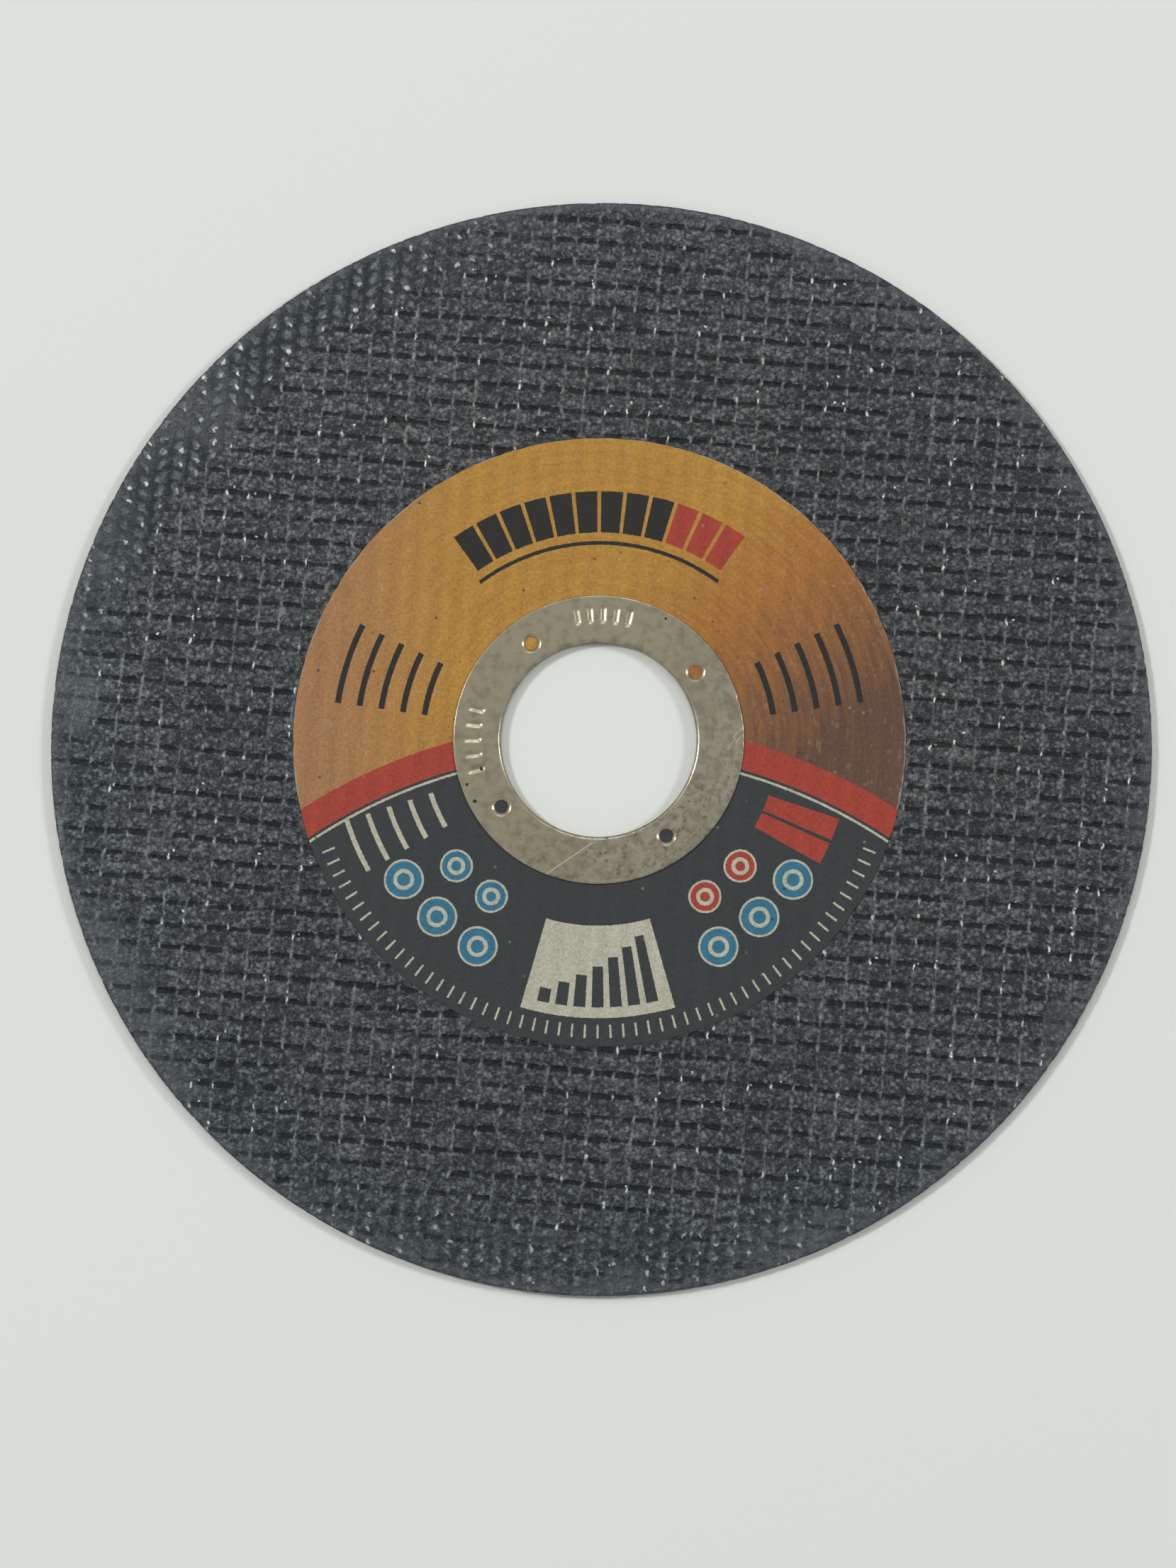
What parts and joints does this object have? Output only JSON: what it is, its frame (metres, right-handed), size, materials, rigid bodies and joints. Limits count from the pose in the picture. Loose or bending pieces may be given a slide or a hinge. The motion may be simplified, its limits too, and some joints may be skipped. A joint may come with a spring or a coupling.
{
  "type": "cut-off wheel",
  "caption": "Thin flat cut-off wheel: woven-faced abrasive disc with a round printed paper label and a stamped metal ring lining the bore.",
  "frame": {"origin": "centre of the bore on the wheel's underside", "axes": "+Z along the bore, out of the labelled face; +Y towards the top of the label"},
  "size_m": [0.125, 0.125, 0.0012],
  "materials": {
    "abrasive": "matte",
    "label_print": "satin",
    "tinplate": "satin"
  },
  "bodies": {
    "root": {"abrasive_disc": "abrasive", "paper_label": "label_print", "centre_ring": "tinplate"}
  },
  "joints": []
}
